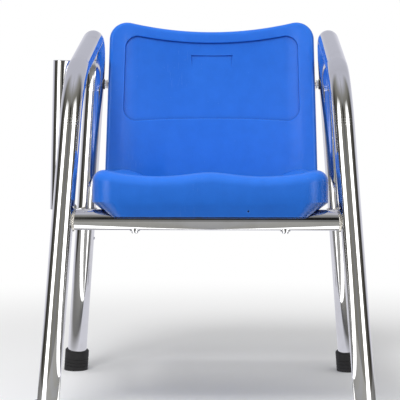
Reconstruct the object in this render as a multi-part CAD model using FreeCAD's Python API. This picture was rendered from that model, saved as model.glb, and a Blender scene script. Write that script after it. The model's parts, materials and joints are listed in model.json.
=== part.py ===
import FreeCAD, Part
import math
import os

# Student armchair: two bent tube side frames carry a moulded seat on welded rails,
# and a moulded back that tilts a little on one bolt at each side.
# Millimetres. X is across (right as seen from the front), Y runs from front to back, Z is up.
# The origin is on the floor, in the middle of the chair's box.

V = FreeCAD.Vector
X_AXIS, Y_AXIS, Z_AXIS = V(1, 0, 0), V(0, 1, 0), V(0, 0, 1)

# ---- side frames: one bent tube each, leaning outwards towards the floor ----
FRAME_TUBE_R = 19.0
FRAME_WALL = 1.5
BEND_R = 105.0              # centre line radius of both bends
FOOT_HALF_WIDTH = 277.3     # leg axis to the middle of the chair, at the floor
FOOT_HALF_DEPTH = 267.0     # leg axes to the middle, front and rear, at the floor
LEAN_DEG = 4.62             # outward lean of a side frame
FRONT_CORNER = (-234.7, 601.4)   # y, z where front leg and arm would cross
REAR_CORNER = (186.8, 687.2)     # y, z where arm and rear leg would cross

# ---- feet ----
FOOT_R = 24.0
FOOT_HEIGHT = 42.0
FOOT_SOLE = 8.0             # rubber under the tube's end

# ---- seat rails: front, rear and support rail have their tops in one plane that falls to the rear ----
FRONT_RAIL_Z = 355.4        # height of the front rail's axis
RAIL_SETBACK = 10.0         # axes of the front and rear rails, inwards of the legs' axes
RAIL_END_GAP = 1.5          # closed ends of those rails to the side rails
SEAT_PLANE_DEG = 5.17
CROSS_RAIL_R = 18.0         # front and rear rails
CROSS_RAIL_WALL = 1.5
SIDE_RAIL_R = 12.5
SIDE_RAIL_WALL = 1.5
SIDE_RAIL_DEPTH = 10.5      # side rail's axis below the rail plane
SUPPORT_RAIL_R = 11.0       # rail under the rear of the seat
SUPPORT_RAIL_WALL = 1.5
SUPPORT_RAIL_INSET = 37.0   # support rail's axis to the seat's rear edge
WELD_SIZE = 2.6             # leg of a weld bead

# ---- accessory sleeve on the left side ----
SLEEVE_R = 19.0
SLEEVE_BORE_R = 17.0
SLEEVE_Y = 20.0
SLEEVE_LOW_Z = 350.0
SLEEVE_HIGH_Z = 629.0
SLEEVE_LOW_OUT = 31.8       # sleeve's axis outside the side frame's plane, at its lower end
SLEEVE_HIGH_OUT = 46.3      # and at its upper end
BASE_CAP_THICK = 3.0        # disc welded under the sleeve
GUSSET_THICK = 5.0
GUSSET_SETBACK = 4.0        # gusset edge to the sleeve's end
UPPER_GUSSET_DROP = 48.0    # how far the upper gusset reaches down the sleeve
LOWER_GUSSET_RISE = 42.0    # how far the lower gusset reaches up the sleeve

# ---- seat, drawn level on the rail plane and then tilted with it ----
SEAT_HALF_WIDTH = 204.0
SEAT_SHIFT = 6.0            # seat and its bolts, to the right of the middle
SEAT_FRONT = -38.0          # seat's front edge, measured from the front rail's axis
SEAT_DEPTH = 400.0
SEAT_CORNER_R = 40.0        # front corners at the belt
SOLE_CORNER_R = 22.0        # front corners at the underside
SEAT_REAR_CORNER_R = 60.0
SEAT_EDGE_R = 20.0          # roll of the upper edge
SEAT_BELT_Z = 12.5          # height where the tapering underside meets the side
SEAT_SIDE_TAPER = 34.0      # how far the underside draws in at the sides
SEAT_FRONT_TAPER = 6.0
SEAT_REAR_TAPER = 16.0
SEAT_WALL = 3.0
LIP_DROP = 13.0             # front lip, below the rail plane
LIP_CLEARANCE = 1.5         # lip to front rail
VENT_R = 1.7
VENT_X = 66.0

# heights of the seat's top over the rail plane, from the middle to the side
CONTOUR_X = [0.0, 45.0, 90.0, 130.0, 165.0, 215.0]
CONTOUR_Y = [-55.0, 5.0, 80.0, 180.0, 290.0, 375.0]
CONTOUR_Z = [
    [63.0, 58.5, 56.0, 59.0, 64.0, 67.0],
    [63.0, 58.5, 56.0, 59.5, 65.0, 68.0],
    [54.0, 49.5, 50.0, 61.5, 69.0, 71.0],
    [43.0, 42.0, 48.0, 63.5, 72.0, 73.5],
    [41.0, 41.5, 48.0, 60.0, 68.0, 70.0],
    [49.0, 49.5, 53.0, 60.0, 65.0, 66.0],
]

# ---- seat fixings ----
BOLT_X = 130.0
BOLT_R = 3.0
BOLT_HEAD_R = 6.0
BOLT_HEAD_H = 4.0
BOLT_HOLE_R = 3.3
WASHER_R = 9.0
WASHER_H = 1.6              # thickness under the tube's lowest line
WASHER_RIM = 4.4            # height of its sides, up the tube
INSERT_R = 6.0
INSERT_LENGTH = 22.0
INSERT_FLANGE_R = 9.0
INSERT_FLANGE_H = 2.0
BOLT_REACH = 16.0           # bolt tip above the rail plane
PILLAR_R = 13.0             # moulded pillar round an insert

# ---- back, drawn upright about its tilt axis and then reclined ----
RECLINE_DEG = 8.0
PIVOT_Z = 581.0
BACK_THICK = 26.0
BACK_SIDE_GAP = 1.75        # back to the spacer washers, at the tilt axis
BACK_FLARE = 9.3            # how much further out the back's lower corners are than its upper ones
BACK_TOP = 131.0            # corners above the tilt axis, before they are rounded
BACK_TOP_DIP = 25.0         # middle of the top edge below its corners
BACK_BOTTOM = -205.0
BACK_TOP_CORNER_R = 35.0
BACK_BOTTOM_CORNER_R = 32.0
BACK_HOLLOW = 28.0          # the back's middle is this much further back than its sides
PIVOT_DEPTH = 9.0           # tilt axis behind the middle of the back's side edges
BACK_EDGE_R = 8.0
BACK_WALL = 3.0
PANEL_MARGIN = 32.0         # panel's sides to the back's sides
PANEL_TOP = 99.5
PANEL_TOP_DIP = 16.5
PANEL_BOTTOM = -74.0
PANEL_BOTTOM_RISE = 8.0     # middle of the lower edge above its corners
PANEL_CORNER_R = 24.0
PANEL_DEPTH = 4.0
PANEL_RIM_R = 2.2           # rounding of the panel's rim
PANEL_FLOOR_R = 1.6         # rounding where its sides meet its floor
LABEL_HALF_WIDTH = 40.5
LABEL_TOP = 59.0
LABEL_BOTTOM = 33.5
LABEL_DEPTH = 1.6           # at its upper edge; it runs out to nothing at the lower one
LABEL_RUN_OUT = 2.7         # climb of its floor from the upper edge to the lower one

# ---- tilt bolts of the back ----
PIN_R = 4.0
PIN_CLEARANCE = 0.05        # running fit of the pin in its bush
PIN_HOLE_CLEARANCE = 0.2    # bolt in the leg
PIN_ENGAGEMENT = 16.0
PIN_END_GAP = 2.0
BUSH_R = 7.0
BUSH_LENGTH = 20.0
BUSH_RECESS = 0.4           # bush mouth inside the back's side
PIVOT_HEAD_R = 7.5
PIVOT_HEAD_H = 5.0
SADDLE_R = 10.0
SADDLE_CREST = 1.2          # washer thickness over the tube's crest
NUT_FLAT = 6.5              # axis to flat
NUT_H = 4.0
SPACER_R = 8.5
SPACER_H = 1.2

RIVET_Z = 272.0
RIVET_R = 2.0
RIVET_HEAD_R = 4.0

PAST_ALL = 900.0            # a length that passes the whole chair, for cutting bodies

LEAN = math.radians(LEAN_DEG)
SLOPE = math.radians(SEAT_PLANE_DEG)


# ---------- general helpers ----------
def rod(start, end, radius):
    """A solid cylinder between two points."""
    along = end - start
    return Part.makeCylinder(radius, along.Length, start, along)


def between(start, end, share):
    return start + (end - start) * share


def ring_segment(centre, normal, radius):
    """A filled disc that a straight run or a bend is drawn from."""
    return Part.Face(Part.Wire(Part.makeCircle(radius, centre, normal)))


def bend_corner(before, corner, after, radius):
    """Tangent points, turning centre, axis and angle of a bend at a corner."""
    u = (before - corner).normalize()
    v = (after - corner).normalize()
    half = math.acos(u.dot(v)) / 2.0
    reach = radius / math.tan(half)
    middle = (u + v).normalize()
    centre = corner + middle * (radius / math.sin(half))
    axis = v.cross(u).normalize()
    return corner + u * reach, corner + v * reach, centre, axis, math.degrees(math.pi - 2.0 * half)


def bent_rod(points, bend_radius, radius):
    """A round bar along straight runs joined by tangent bends."""
    pieces = []
    start = points[0]
    for before, corner, after in zip(points, points[1:], points[2:]):
        entry, leave, centre, axis, angle = bend_corner(before, corner, after, bend_radius)
        pieces.append(rod(start, entry, radius))
        disc = ring_segment(entry, entry - start, radius)
        pieces.append(disc.revolve(centre, axis, angle))
        start = leave
    pieces.append(rod(start, points[-1], radius))
    return pieces[0].fuse(pieces[1:]).removeSplitter()


def hexagon(centre, axis, flat, height):
    """A hexagonal nut blank that starts at centre and runs along axis."""
    corner = flat / math.cos(math.pi / 6.0)
    points = [V(corner * math.cos(k * math.pi / 3.0), corner * math.sin(k * math.pi / 3.0), 0)
              for k in range(7)]
    blank = Part.Face(Part.makePolygon(points)).extrude(V(0, 0, height))
    blank.Placement = FreeCAD.Placement(centre, FreeCAD.Rotation(Z_AXIS, axis))
    return blank


def group(solids):
    return Part.Compound(solids)


def mirrored(shape):
    return shape.mirror(V(0, 0, 0), X_AXIS)


# ---------- side frames ----------
def lean_out(shape, side):
    """Turns a shape drawn in the plane X = 0 into the plane of a side frame."""
    leaning = shape.copy()
    leaning.rotate(V(0, 0, 0), Y_AXIS, -side * LEAN_DEG)
    leaning.translate(V(side * FOOT_HALF_WIDTH, 0, 0))
    return leaning


def leg_axis_x(z):
    """Distance of a side frame's plane from the middle of the chair."""
    return FOOT_HALF_WIDTH - z * math.tan(LEAN)


def leg_line_y(corner, foot_y, z):
    return foot_y + (corner[0] - foot_y) * z / corner[1]


def front_leg_point(side, z):
    return V(side * leg_axis_x(z), leg_line_y(FRONT_CORNER, -FOOT_HALF_DEPTH, z), z)


def rear_leg_point(side, z):
    return V(side * leg_axis_x(z), leg_line_y(REAR_CORNER, FOOT_HALF_DEPTH, z), z)


def frame_path():
    """Foot, two corners and foot of a side frame, in its own plane."""
    end_z = FOOT_SOLE
    outline = [
        (leg_line_y(FRONT_CORNER, -FOOT_HALF_DEPTH, end_z), end_z),
        FRONT_CORNER,
        REAR_CORNER,
        (leg_line_y(REAR_CORNER, FOOT_HALF_DEPTH, end_z), end_z),
    ]
    return [V(0, y, z / math.cos(LEAN)) for y, z in outline]


def side_frame_bar(side):
    return lean_out(bent_rod(frame_path(), BEND_R, FRAME_TUBE_R), side)


def side_frame_tube(side):
    bar = bent_rod(frame_path(), BEND_R, FRAME_TUBE_R)
    core = bent_rod(frame_path(), BEND_R, FRAME_TUBE_R - FRAME_WALL)
    return lean_out(bar.cut(core), side)


def foot(point_at, side):
    """Rubber ferrule: follows the leg, with its sole cut flat on the floor."""
    low = point_at(side, -2.0 * FOOT_R)
    end = point_at(side, FOOT_SOLE)
    top = point_at(side, FOOT_HEIGHT)
    body = rod(low, top, FOOT_R)
    collar = [edge for edge in body.Edges if edge.BoundBox.ZMin > 0.5 * FOOT_HEIGHT]
    body = body.makeFillet(0.5 * (FOOT_R - FRAME_TUBE_R), collar[:1])
    size = 8 * FOOT_R
    ground = Part.makeBox(size, size, size, V(end.x - size / 2, end.y - size / 2, -size))
    socket = rod(end, point_at(side, 2.0 * FOOT_HEIGHT), FRAME_TUBE_R)
    return body.cut(ground).cut(socket)


# ---------- rails ----------
def plane_start():
    """The rail plane's point over the middle of the front rail."""
    axis = front_leg_point(0, FRONT_RAIL_Z) + V(0, RAIL_SETBACK, 0)
    return axis + V(0, math.sin(SLOPE), math.cos(SLOPE)) * CROSS_RAIL_R


def on_plane(x, run, below):
    """A point run back from the front rail along the rail plane, and below it."""
    start = plane_start()
    y = start.y + run * math.cos(SLOPE) - below * math.sin(SLOPE)
    z = start.z - run * math.sin(SLOPE) - below * math.cos(SLOPE)
    return V(x, y, z)


def leg_run(point_at, below):
    """How far along the rail plane a leg's axis passes, at a depth below the plane."""
    low, high = point_at(0, 0), point_at(0, 100)
    per_height = (high.y - low.y) / 100.0
    first = on_plane(0, 0, below)
    gap = low.y + per_height * first.z - first.y
    return gap / (math.cos(SLOPE) + per_height * math.sin(SLOPE))


def leg_joint(point_at, side, below):
    """Where a leg's axis passes a depth below the rail plane."""
    return point_at(side, on_plane(0, leg_run(point_at, below), below).z)


def rail(start, end, radius, wall, neighbours):
    """A tube with closed ends, notched to sit on the tubes that it meets."""
    closing = (end - start).normalize() * wall
    tube = rod(start, end, radius).cut(rod(start + closing, end - closing, radius - wall))
    for neighbour in neighbours:
        tube = tube.cut(neighbour)
    middle = between(start, end, 0.5)
    return min(tube.Solids, key=lambda piece: piece.CenterOfMass.distanceToPoint(middle))


def weld(start, end, radius, other_start, other_end, other_radius):
    """Bead round the end of a tube, where it meets another: start is on the other's axis."""
    bead = rod(start, end, radius + WELD_SIZE).common(rod(other_start, other_end, other_radius + WELD_SIZE))
    bead = bead.cut(rod(other_start, other_end, other_radius)).cut(rod(start, end, radius))
    return max(bead.Solids, key=lambda piece: piece.Volume)


def near_leg(point_at, side, height):
    """Two points of a straight leg, below and above a height."""
    return point_at(side, height - 80), point_at(side, height + 80)


def rear_rail_run():
    """How far the rear rail lies behind the front rail, along the rail plane."""
    return leg_run(rear_leg_point, CROSS_RAIL_R) - RAIL_SETBACK


def cross_rail_ends(run):
    """Ends of the front or rear rail's axis, just short of the side rails."""
    middle = on_plane(0, run, CROSS_RAIL_R)
    reach = leg_axis_x(middle.z) - SIDE_RAIL_R - RAIL_END_GAP
    return V(-reach, middle.y, middle.z), V(reach, middle.y, middle.z)


def cross_rail(point_at, run):
    """Front or rear rail between two legs, with its two weld beads."""
    left, right = cross_rail_ends(run)
    legs = [rod(*near_leg(point_at, side, right.z), FRAME_TUBE_R) for side in (-1, 1)]
    tube = rail(left, right, CROSS_RAIL_R, CROSS_RAIL_WALL, legs)
    inner = V(right.x - 3 * CROSS_RAIL_R, right.y, right.z)
    bead = weld(right, inner, CROSS_RAIL_R, *near_leg(point_at, 1, right.z), FRAME_TUBE_R)
    return tube, [bead, mirrored(bead)]


def welded_cross_bars():
    """Room that the front and rear rails take up with their beads."""
    return [rod(*cross_rail_ends(run), CROSS_RAIL_R + WELD_SIZE) for run in (0.0, rear_rail_run())]


def side_rail_ends(side):
    return [leg_joint(point_at, side, SIDE_RAIL_DEPTH) for point_at in (front_leg_point, rear_leg_point)]


def side_rail():
    """Right rail from front leg to rear leg, with its two weld beads."""
    front, rear = side_rail_ends(1)
    bars = welded_cross_bars()
    legs = [rod(*near_leg(front_leg_point, 1, front.z), FRAME_TUBE_R),
            rod(*near_leg(rear_leg_point, 1, rear.z), FRAME_TUBE_R)]
    tube = rail(front, rear, SIDE_RAIL_R, SIDE_RAIL_WALL, legs + bars)
    beads = []
    for point_at, start, far in ((front_leg_point, front, rear), (rear_leg_point, rear, front)):
        inner = start + (far - start).normalize() * (3 * FRAME_TUBE_R)
        bead = weld(start, inner, SIDE_RAIL_R, *near_leg(point_at, 1, start.z), FRAME_TUBE_R)
        beads.append(bead.cut(bars[0]).cut(bars[1]).Solids[0])
    return tube, beads


def support_run():
    """How far the support rail lies behind the front rail, along the rail plane."""
    return SEAT_FRONT + SEAT_DEPTH - SUPPORT_RAIL_INSET


def support_rail():
    """Rail under the rear of the seat, between the two side rails."""
    front, rear = side_rail_ends(1)
    centre = on_plane(0, support_run(), SUPPORT_RAIL_R)
    reach = between(front, rear, (centre.y - front.y) / (rear.y - front.y)).x
    ends = [V(-reach, centre.y, centre.z), V(reach, centre.y, centre.z)]
    neighbours = [rod(*side_rail_ends(side), SIDE_RAIL_R) for side in (-1, 1)]
    tube = rail(ends[0], ends[1], SUPPORT_RAIL_R, SUPPORT_RAIL_WALL, neighbours)
    inner = V(reach - 3 * SIDE_RAIL_R, centre.y, centre.z)
    bead = weld(ends[1], inner, SUPPORT_RAIL_R, front, rear, SIDE_RAIL_R)
    return tube, [bead, mirrored(bead)]


# ---------- accessory sleeve ----------
def sleeve_axis():
    """Lower and upper end of the sleeve's axis, outside the left side frame."""
    return (V(-leg_axis_x(SLEEVE_LOW_Z) - SLEEVE_LOW_OUT, SLEEVE_Y, SLEEVE_LOW_Z),
            V(-leg_axis_x(SLEEVE_HIGH_Z) - SLEEVE_HIGH_OUT, SLEEVE_Y, SLEEVE_HIGH_Z))


def sleeve_cap_top():
    """The sleeve's axis at the upper face of its base cap."""
    bottom, top = sleeve_axis()
    return bottom + (top - bottom).normalize() * BASE_CAP_THICK


def sleeve_tube():
    start, top = sleeve_cap_top(), sleeve_axis()[1]
    return rod(start, top, SLEEVE_R).cut(rod(start, top, SLEEVE_BORE_R))


def sleeve_base_cap():
    """Disc that closes the sleeve's lower end, under the tube."""
    return rod(sleeve_axis()[0], sleeve_cap_top(), SLEEVE_R)


def gusset(points, neighbours):
    """Flat plate across the chair, trimmed to the tubes that it is welded to."""
    corners = [V(x, SLEEVE_Y - GUSSET_THICK / 2, z) for x, z in points]
    plate = Part.Face(Part.makePolygon(corners + corners[:1])).extrude(V(0, GUSSET_THICK, 0))
    for neighbour in neighbours:
        plate = plate.cut(neighbour)
    return max(plate.Solids, key=lambda piece: piece.Volume)


def sleeve_gussets():
    bottom, top = sleeve_axis()
    above = top + (top - bottom)
    bar = rod(bottom, above, SLEEVE_R)
    arm_z = arm_height(SLEEVE_Y)
    arm_x = -leg_axis_x(arm_z)
    upper = gusset([(arm_x, arm_z - 0.5 * FRAME_TUBE_R), (arm_x, arm_z - UPPER_GUSSET_DROP),
                    (top.x, top.z - UPPER_GUSSET_DROP), (top.x, top.z - GUSSET_SETBACK)],
                   [bar, side_frame_bar(-1)])
    front, rear = side_rail_ends(-1)
    rail_point = between(front, rear, (SLEEVE_Y - front.y) / (rear.y - front.y))
    lower = gusset([(rail_point.x, rail_point.z), (bottom.x, bottom.z + GUSSET_SETBACK),
                    (bottom.x, bottom.z + LOWER_GUSSET_RISE),
                    (rail_point.x, rail_point.z + SIDE_RAIL_R + GUSSET_SETBACK)],
                   [bar, rod(front, rear, SIDE_RAIL_R)])
    return upper, lower


def arm_height(y):
    """Height of an arm's axis at a given depth."""
    share = (y - FRONT_CORNER[0]) / (REAR_CORNER[0] - FRONT_CORNER[0])
    return FRONT_CORNER[1] + share * (REAR_CORNER[1] - FRONT_CORNER[1])


# ---------- seat ----------
def rounded_outline(half_width, front, rear, front_r, rear_r, z):
    """Plan outline of the seat as a closed wire."""
    w = half_width
    a, b = front_r, rear_r
    q = math.sqrt(0.5)
    edges = [
        Part.makeLine(V(-w + a, front, z), V(w - a, front, z)),
        Part.Arc(V(w - a, front, z), V(w - a + a * q, front + a - a * q, z), V(w, front + a, z)).toShape(),
        Part.makeLine(V(w, front + a, z), V(w, rear - b, z)),
        Part.Arc(V(w, rear - b, z), V(w - b + b * q, rear - b + b * q, z), V(w - b, rear, z)).toShape(),
        Part.makeLine(V(w - b, rear, z), V(-w + b, rear, z)),
        Part.Arc(V(-w + b, rear, z), V(-w + b - b * q, rear - b + b * q, z), V(-w, rear - b, z)).toShape(),
        Part.makeLine(V(-w, rear - b, z), V(-w, front + a, z)),
        Part.Arc(V(-w, front + a, z), V(-w + a - a * q, front + a - a * q, z), V(-w + a, front, z)).toShape(),
    ]
    return Part.Wire(edges)


def seat_top_form(inset):
    """Everything under the seat's contoured top, as one solid."""
    rows = []
    for depth, heights in zip(CONTOUR_Y, CONTOUR_Z):
        half = [V(x, depth, z - inset) for x, z in zip(CONTOUR_X, heights)]
        other = [V(-point.x, point.y, point.z) for point in half[:0:-1]]
        rows.append(other + half)
    surface = Part.BSplineSurface()
    surface.interpolate(rows)
    return surface.toShape().extrude(V(0, 0, -PAST_ALL))


def seat_form(inset):
    """Outer form of the seat, or with an inset the space inside its wall."""
    half = SEAT_HALF_WIDTH - inset
    front = SEAT_FRONT + inset
    rear = SEAT_FRONT + SEAT_DEPTH - inset
    front_r = SEAT_CORNER_R - inset
    rear_r = SEAT_REAR_CORNER_R - inset
    low = -LIP_DROP + inset
    belt = rounded_outline(half, front, rear, front_r, rear_r, SEAT_BELT_Z)
    sole = rounded_outline(half - SEAT_SIDE_TAPER, front + SEAT_FRONT_TAPER, rear - SEAT_REAR_TAPER,
                           SOLE_CORNER_R - inset, rear_r, low)
    lower = Part.makeLoft([sole, belt], True, True)
    upper = Part.Face(belt).extrude(V(0, 0, PAST_ALL)).common(seat_top_form(inset))
    body = upper.fuse(lower).removeSplitter()
    rim = [edge for edge in body.Edges if edge.BoundBox.ZMin > SEAT_BELT_Z + 10]
    return body.makeFillet(SEAT_EDGE_R - inset, rim)


def underside_cut(inset):
    """Space under the seat behind its front lip."""
    lip_back = -(CROSS_RAIL_R + LIP_CLEARANCE) - inset
    return Part.makeBox(PAST_ALL, PAST_ALL, PAST_ALL, V(-PAST_ALL / 2, lip_back, inset - PAST_ALL))


def seat_bolt_places():
    return [(x, run) for run in (0.0, support_run()) for x in (-BOLT_X, BOLT_X)]


def tilt_seat(shape):
    tilted = shape.copy()
    tilted.rotate(V(0, 0, 0), X_AXIS, -SEAT_PLANE_DEG)
    tilted.translate(plane_start() + V(SEAT_SHIFT, 0, 0))
    return tilted


def seat_shell():
    """Hollow moulded seat, with a pillar round each insert and a vent in its front lip."""
    outer = seat_form(0.0).cut(underside_cut(0.0))
    hollow = seat_form(SEAT_WALL).cut(underside_cut(SEAT_WALL))
    for x, run in seat_bolt_places():
        hollow = hollow.cut(Part.makeCylinder(PILLAR_R, PAST_ALL, V(x, run, -PAST_ALL / 2)))
    shell = outer.cut(hollow)
    for x, run in seat_bolt_places():
        shell = shell.cut(insert_blank(x, run))
    vent = Part.makeCylinder(VENT_R, 3 * SEAT_WALL, V(VENT_X, SEAT_FRONT - SEAT_WALL, -3.0), Y_AXIS)
    return tilt_seat(shell.cut(vent))


def insert_blank(x, run):
    barrel = Part.makeCylinder(INSERT_R, INSERT_LENGTH, V(x, run, 0))
    flange = Part.makeCylinder(INSERT_FLANGE_R, INSERT_FLANGE_H, V(x, run, INSERT_LENGTH - INSERT_FLANGE_H))
    return barrel.fuse(flange)


def seat_inserts():
    """Threaded inserts that are moulded into the seat's pillars."""
    pieces = []
    for x, run in seat_bolt_places():
        bore = Part.makeCylinder(BOLT_R, INSERT_LENGTH - INSERT_FLANGE_H, V(x, run, 0))
        pieces.append(tilt_seat(insert_blank(x, run).cut(bore)))
    return pieces


def rail_radius(run):
    return CROSS_RAIL_R if run == 0.0 else SUPPORT_RAIL_R


def seat_bolt(x, run):
    """Bolt from under a rail, through it and into the seat."""
    under = -2 * rail_radius(run) - WASHER_H
    shank = Part.makeCylinder(BOLT_R, BOLT_REACH - under, V(x, run, under))
    head = Part.makeCylinder(BOLT_HEAD_R, BOLT_HEAD_H, V(x, run, under - BOLT_HEAD_H))
    rim = [edge for edge in head.Edges if edge.BoundBox.ZMax < under - BOLT_HEAD_H + 0.1]
    head = head.makeFillet(0.6 * BOLT_HEAD_H, rim)
    socket = hexagon(V(x, run, under - BOLT_HEAD_H), Z_AXIS, 2.0, 2.2)
    return tilt_seat(shank.fuse(head).cut(socket))


def seat_washer(x, run):
    """Washer under a rail, hollowed to lie against the tube."""
    radius = rail_radius(run)
    low = -2 * radius - WASHER_H
    disc = Part.makeCylinder(WASHER_R, radius, V(x, run, low))
    disc = disc.cut(Part.makeCylinder(radius, PAST_ALL, V(-PAST_ALL / 2, run, -radius), X_AXIS))
    above = Part.makeCylinder(2 * WASHER_R, PAST_ALL, V(x, run, low + WASHER_RIM))
    disc = disc.cut(above)
    return tilt_seat(disc.cut(Part.makeCylinder(BOLT_R, PAST_ALL, V(x, run, -PAST_ALL / 2))))


def bolt_holes():
    return [tilt_seat(Part.makeCylinder(BOLT_HOLE_R, PAST_ALL, V(x, run, -PAST_ALL / 2)))
            for x, run in seat_bolt_places()]


# ---------- back ----------
def pivot_point():
    return V(0, rear_leg_point(1, PIVOT_Z).y, PIVOT_Z)


def recline(shape):
    leaning = shape.copy()
    leaning.rotate(V(0, 0, 0), X_AXIS, -RECLINE_DEG)
    leaning.translate(pivot_point())
    return leaning


def bowed_edge(left, middle, right):
    return Part.Arc(left, middle, right).toShape()


def shield_face(half_top, half_bottom, top, dip, bottom, rise):
    """Outline of the back or of its panel: bowed top and bottom, sides that widen downwards."""
    y = -PAST_ALL / 2
    corners = [V(-half_top, y, top), V(half_top, y, top),
               V(half_bottom, y, bottom), V(-half_bottom, y, bottom)]
    lower = (Part.makeLine(corners[2], corners[3]) if rise == 0
             else bowed_edge(corners[2], V(0, y, bottom + rise), corners[3]))
    edges = [
        bowed_edge(corners[0], V(0, y, top - dip), corners[1]),
        Part.makeLine(corners[1], corners[2]),
        lower,
        Part.makeLine(corners[3], corners[0]),
    ]
    return Part.Face(Part.Wire(edges))


def round_corners(solid, top_r, bottom_r):
    """Rounds the four edges of a shield-shaped block that run from front to back."""
    def runs_back(edge):
        box = edge.BoundBox
        return box.YLength > 10 and box.XLength < 0.1 and box.ZLength < 0.1
    middle = solid.BoundBox.Center.z
    upper = [edge for edge in solid.Edges if runs_back(edge) and edge.BoundBox.ZMin > middle]
    lower = [edge for edge in solid.Edges if runs_back(edge) and edge.BoundBox.ZMin < middle]
    return solid.makeFillet(top_r, upper).makeFillet(bottom_r, lower)


def slab_side():
    """Half width of the curved slabs, past the back's widest place."""
    return back_side_x(BACK_BOTTOM) + 20


def slab_hollow():
    """How far a slab's middle is set back from its ends."""
    return BACK_HOLLOW * (slab_side() / back_side_x(BACK_BOTTOM)) ** 2


def hollow_slab(front, back):
    """Curved slab that is set back in the middle: front and back are its depths at the sides."""
    side = slab_side()
    hollow = slab_hollow()
    edges = []
    for depth in (front, back):
        edges.append(bowed_edge(V(-side, depth, 0), V(0, depth + hollow, 0), V(side, depth, 0)))
    ends = [Part.makeLine(V(s * side, front, 0), V(s * side, back, 0)) for s in (-1, 1)]
    face = Part.Face(Part.Wire([edges[0], ends[1], edges[1], ends[0]]))
    slab = face.extrude(V(0, 0, PAST_ALL))
    slab.translate(V(0, -PIVOT_DEPTH, -PAST_ALL / 2))
    return slab


def back_block(inset):
    """The back's form, or with an inset the space inside its wall."""
    outline = shield_face(back_side_x(BACK_TOP) - inset, back_side_x(BACK_BOTTOM) - inset,
                          BACK_TOP - inset, BACK_TOP_DIP, BACK_BOTTOM + inset, 0)
    block = outline.extrude(V(0, PAST_ALL, 0))
    return round_corners(block, BACK_TOP_CORNER_R - inset, BACK_BOTTOM_CORNER_R - inset)


def press_panel(body):
    """The back with the panel pressed into its front, its rim and floor rounded."""
    outline = shield_face(back_side_x(PANEL_TOP) - PANEL_MARGIN, back_side_x(PANEL_BOTTOM) - PANEL_MARGIN,
                          PANEL_TOP, PANEL_TOP_DIP, PANEL_BOTTOM, PANEL_BOTTOM_RISE)
    block = round_corners(outline.extrude(V(0, PAST_ALL, 0)), PANEL_CORNER_R, PANEL_CORNER_R)
    half = BACK_THICK / 2
    press = block.common(hollow_slab(-BACK_THICK, -half + PANEL_DEPTH))
    floor = max(press.Faces, key=lambda face: (face.CenterOfMass.y, face.Area))
    body = body.cut(press.makeFillet(PANEL_FLOOR_R, floor.OuterWire.Edges))
    pierced = [face for face in body.Faces if len(face.Wires) > 1]
    front = max(pierced, key=lambda face: face.Area)
    rims = [wire for wire in front.Wires if not wire.isSame(front.OuterWire)]
    return body.makeFillet(PANEL_RIM_R, rims[0].Edges)


def label_ramp():
    """Plain place for a label: a ramp with sloping sides, deepest along its upper edge."""
    floor = slab_hollow() - PIVOT_DEPTH - BACK_THICK / 2 + PANEL_DEPTH
    wires = []
    for y, spread in ((floor - LABEL_DEPTH, LABEL_DEPTH), (floor + LABEL_DEPTH, -LABEL_DEPTH)):
        x = LABEL_HALF_WIDTH + spread
        top = LABEL_TOP + spread
        low_y = y - LABEL_RUN_OUT
        wires.append(Part.makePolygon([V(-x, y, top), V(x, y, top), V(x, low_y, LABEL_BOTTOM),
                                       V(-x, low_y, LABEL_BOTTOM), V(-x, y, top)]))
    return Part.makeLoft(wires, True, True)


def back_shell():
    """Hollow moulded back: pressed panel on its front, plain label place and two bush bosses."""
    half = BACK_THICK / 2
    body = back_block(0.0).common(hollow_slab(-half, half))
    body = body.makeFillet(BACK_EDGE_R, [edge for edge in body.Edges if on_slab_rim(edge)])
    body = press_panel(body).cut(label_ramp())
    cavity = back_block(BACK_WALL).common(hollow_slab(-half + PANEL_DEPTH + LABEL_DEPTH + BACK_WALL,
                                                      half - BACK_WALL))
    for side in (-1, 1):
        end = side * (side_edge_x() + 5)
        cavity = cavity.cut(rod(V(end, 0, 0), V(end - side * (BUSH_LENGTH + 12), 0, 0), BUSH_R + BACK_WALL))
    body = body.cut(cavity)
    for side in (-1, 1):
        body = body.cut(bush_blank(side))
    return recline(body)


def on_slab_rim(edge):
    """True for the edges between the back's faces and its sides."""
    box = edge.BoundBox
    return not (box.YLength > BACK_THICK - 1.5 and box.XLength < 6)


def side_edge_x():
    """Half width of the back at its tilt axis, inside the spacer washers."""
    return pivot_row()["spacer"] - BACK_SIDE_GAP


def back_side_x(height):
    """Half width of the back at a height over its tilt axis."""
    return side_edge_x() - BACK_FLARE * height / (BACK_TOP - BACK_BOTTOM)


def bush_blank(side):
    """Bush space, from just inside the back's side edge."""
    mouth = side_edge_x() - BUSH_RECESS
    return rod(V(side * (mouth - BUSH_LENGTH), 0, 0), V(side * (mouth + 3), 0, 0), BUSH_R)


def bushes():
    pieces = []
    for side in (-1, 1):
        mouth = side_edge_x() - BUSH_RECESS
        blank = rod(V(side * (mouth - BUSH_LENGTH), 0, 0), V(side * mouth, 0, 0), BUSH_R)
        bore = rod(V(side * (mouth - PIN_ENGAGEMENT - PIN_END_GAP), 0, 0), V(side * (mouth + 1), 0, 0),
                   PIN_R + PIN_CLEARANCE)
        pieces.append(recline(blank.cut(bore)))
    return pieces


def pivot_row():
    """Places along X of the right tilt bolt's parts, from the leg's crest inwards."""
    axis = leg_axis_x(PIVOT_Z)
    crest = axis - FRAME_TUBE_R / math.cos(LEAN)
    washer = crest - SADDLE_CREST
    nut = washer - NUT_H
    return {"crest": crest, "washer": washer, "nut": nut, "spacer": nut - SPACER_H,
            "outer": axis + FRAME_TUBE_R / math.cos(LEAN) + SADDLE_CREST}


def at_pivot(x):
    centre = pivot_point()
    return V(x, centre.y, centre.z)


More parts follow.
